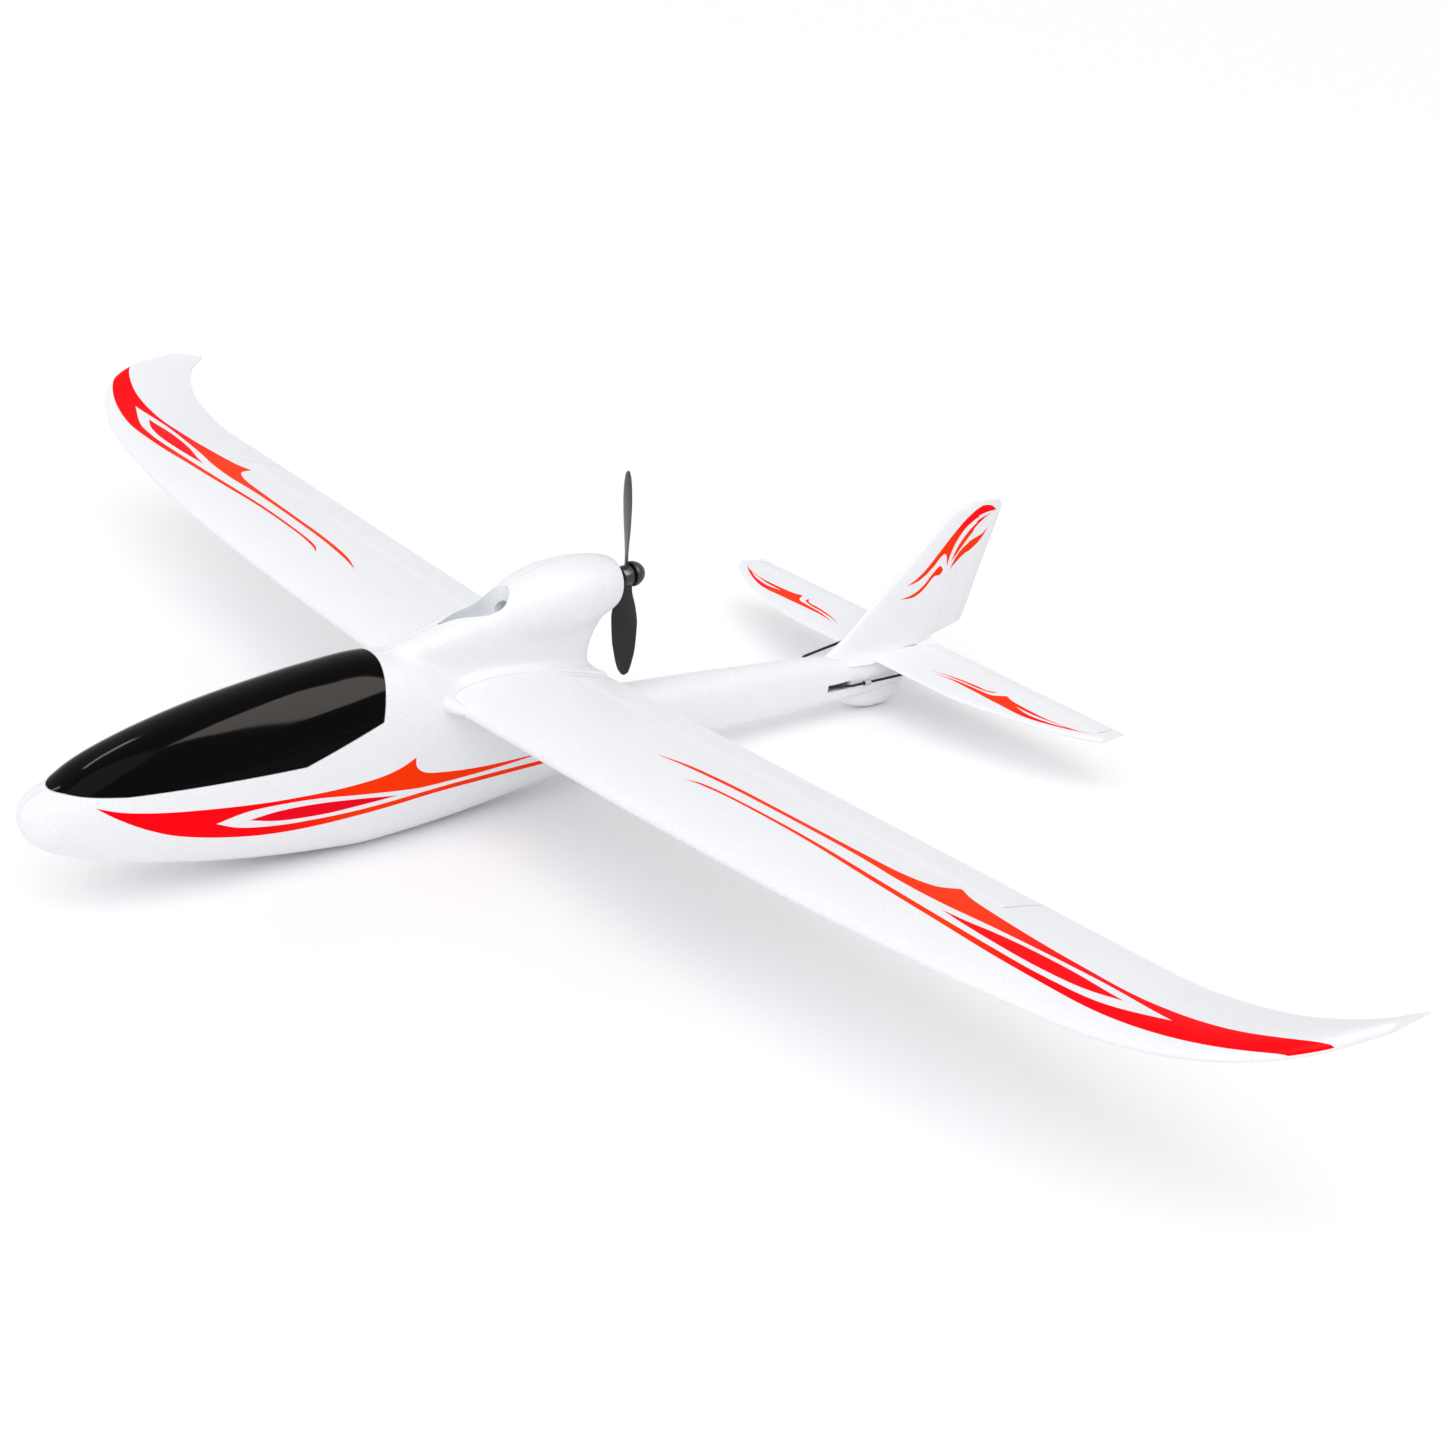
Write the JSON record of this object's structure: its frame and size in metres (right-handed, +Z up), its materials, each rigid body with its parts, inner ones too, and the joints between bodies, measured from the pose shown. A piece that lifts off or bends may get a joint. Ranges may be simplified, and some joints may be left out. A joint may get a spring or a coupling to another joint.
{
  "type": "radio control glider",
  "caption": "Small foam pusher glider for radio control: a motor pod over the wing, a hinged canopy, ailerons, elevator, rudder and the radio gear inside.",
  "frame": {"origin": "on the ground under the middle of the outline", "axes": "+Z up, nose towards -Y, +X to the aircraft's left"},
  "size_m": [0.78, 0.5218, 0.1423],
  "materials": {
    "foam": "moulded bead foam, fine satin grain",
    "canopy_plastic": "vacuum formed, polished",
    "black_plastic": "moulded, satin",
    "servo_case": "moulded, translucent satin",
    "white_nylon": "moulded, satin",
    "steel": "bright zinc",
    "wire": "blackened spring wire",
    "aluminium": "turned, satin",
    "carbon": "pultruded carbon tube, satin",
    "battery_wrap": "heat shrink film",
    "webbing": "woven nylon",
    "circuit_board": "solder mask, satin",
    "lead_sleeve": "silicone sleeve, matte"
  },
  "bodies": {
    "airframe": {"fuselage_left": "foam", "fuselage_right": "foam", "wing_left": "foam", "wing_right": "foam", "wing_joiner": "carbon", "wing_pin_left": "carbon", "wing_pin_right": "carbon", "tailplane": "foam", "fin": "foam", "tail_skid": "foam", "tail_screw_front": "steel", "tail_screw_rear": "steel", "latch_magnet": "steel", "motor_mount": "black_plastic", "motor_base": "steel", "motor_leads": "lead_sleeve", "battery_pack": "battery_wrap", "battery_strap": "webbing", "battery_tray": "white_nylon", "battery_lead": "lead_sleeve", "battery_plug": "white_nylon", "receiver_board": "circuit_board", "receiver_pad": "webbing", "elevator_servo": "servo_case", "rudder_servo": "servo_case", "elevator_servo_cradle": "white_nylon", "rudder_servo_cradle": "white_nylon", "aileron_servo_left": "servo_case", "aileron_servo_right": "servo_case"},
    "canopy": {"canopy_hatch": "canopy_plastic", "canopy_magnet": "steel"},
    "rotor": {"motor_bell": "aluminium", "motor_shaft": "steel", "propeller": "black_plastic", "spinner": "black_plastic"},
    "elevator_surface": {"elevator": "foam", "elevator_horn": "black_plastic"},
    "rudder_surface": {"rudder": "foam", "rudder_horn": "black_plastic"},
    "aileron_surface_left": {"aileron_left": "foam", "aileron_horn_left": "black_plastic"},
    "aileron_surface_right": {"aileron_right": "foam", "aileron_horn_right": "black_plastic"},
    "elevator_arm": {"elevator_servo_arm": "white_nylon"},
    "rudder_arm": {"rudder_servo_arm": "white_nylon"},
    "aileron_arm_left": {"aileron_servo_arm_left": "white_nylon"},
    "aileron_arm_right": {"aileron_servo_arm_right": "white_nylon"},
    "elevator_link": {"elevator_pushrod": "wire", "pushrod_collar": "aluminium"},
    "rudder_link": {"rudder_pushrod": "wire"},
    "aileron_link_left": {"aileron_pushrod_left": "wire"},
    "aileron_link_right": {"aileron_pushrod_right": "wire"}
  },
  "joints": [
    {"name": "canopy_hinge", "type": "hinge", "parent": "airframe", "child": "canopy", "pos_m": [0, -0.25075, 0.05], "axis": [1, 0, 0], "range_deg": [0, 65]},
    {"name": "rotor_spin", "type": "hinge", "parent": "airframe", "child": "rotor", "pos_m": [0, 0.01065, 0.0945], "axis": [0, 0.9945, 0.1045], "continuous": true},
    {"name": "elevator_hinge", "type": "hinge", "parent": "airframe", "child": "elevator_surface", "pos_m": [0, 0.21015, 0.029], "axis": [1, 0, 0], "range_deg": [-20, 20]},
    {"name": "elevator_arm_pivot", "type": "hinge", "parent": "airframe", "child": "elevator_arm", "pos_m": [0.0067, -0.06535, 0.029], "axis": [1, 0, 0], "range_deg": [-20, 20]},
    {"name": "elevator_link_pivot", "type": "hinge", "parent": "elevator_arm", "child": "elevator_link", "pos_m": [0.0067, -0.06535, 0.019], "axis": [1, 0, 0], "range_deg": [-20, 20]},
    {"name": "rudder_hinge", "type": "hinge", "parent": "airframe", "child": "rudder_surface", "pos_m": [0, 0.22315, 0.033], "axis": [0, 0.3224, 0.9466], "range_deg": [-25, 25]},
    {"name": "rudder_arm_pivot", "type": "hinge", "parent": "airframe", "child": "rudder_arm", "pos_m": [0.001, -0.03535, 0.031], "axis": [0, 0.3224, 0.9466], "range_deg": [-25, 25]},
    {"name": "rudder_link_pivot", "type": "hinge", "parent": "rudder_arm", "child": "rudder_link", "pos_m": [-0.009, -0.03535, 0.031], "axis": [0, 0.3224, 0.9466], "range_deg": [-25, 25]},
    {"name": "aileron_hinge_left", "type": "hinge", "parent": "airframe", "child": "aileron_surface_left", "pos_m": [0.02, -0.02935, 0.05859], "axis": [0.9992, 0, 0.04], "range_deg": [-20, 20]},
    {"name": "aileron_arm_pivot_left", "type": "hinge", "parent": "airframe", "child": "aileron_arm_left", "pos_m": [0.128, -0.05735, 0.06425], "axis": [0.9992, 0, 0.04], "range_deg": [-20, 20]},
    {"name": "aileron_link_pivot_left", "type": "hinge", "parent": "aileron_arm_left", "child": "aileron_link_left", "pos_m": [0.13056, -0.05735, 0.05535], "axis": [0.9992, 0, 0.04], "range_deg": [-20, 20]},
    {"name": "aileron_hinge_right", "type": "hinge", "parent": "airframe", "child": "aileron_surface_right", "pos_m": [-0.02, -0.02935, 0.05859], "axis": [-0.9992, 0, 0.04], "range_deg": [-20, 20]},
    {"name": "aileron_arm_pivot_right", "type": "hinge", "parent": "airframe", "child": "aileron_arm_right", "pos_m": [-0.128, -0.05735, 0.06425], "axis": [-0.9992, 0, 0.04], "range_deg": [-20, 20]},
    {"name": "aileron_link_pivot_right", "type": "hinge", "parent": "aileron_arm_right", "child": "aileron_link_right", "pos_m": [-0.13056, -0.05735, 0.05535], "axis": [-0.9992, 0, 0.04], "range_deg": [-20, 20]}
  ],
  "couplings": [
    {"joint": "elevator_arm_pivot", "follows": "elevator_hinge", "ratio": 1},
    {"joint": "elevator_link_pivot", "follows": "elevator_hinge", "ratio": -1},
    {"joint": "rudder_arm_pivot", "follows": "rudder_hinge", "ratio": 1},
    {"joint": "rudder_link_pivot", "follows": "rudder_hinge", "ratio": -1},
    {"joint": "aileron_arm_pivot_left", "follows": "aileron_hinge_left", "ratio": 1},
    {"joint": "aileron_link_pivot_left", "follows": "aileron_hinge_left", "ratio": -1},
    {"joint": "aileron_hinge_right", "follows": "aileron_hinge_left", "ratio": 1},
    {"joint": "aileron_arm_pivot_right", "follows": "aileron_hinge_left", "ratio": 1},
    {"joint": "aileron_link_pivot_right", "follows": "aileron_hinge_left", "ratio": -1}
  ]
}
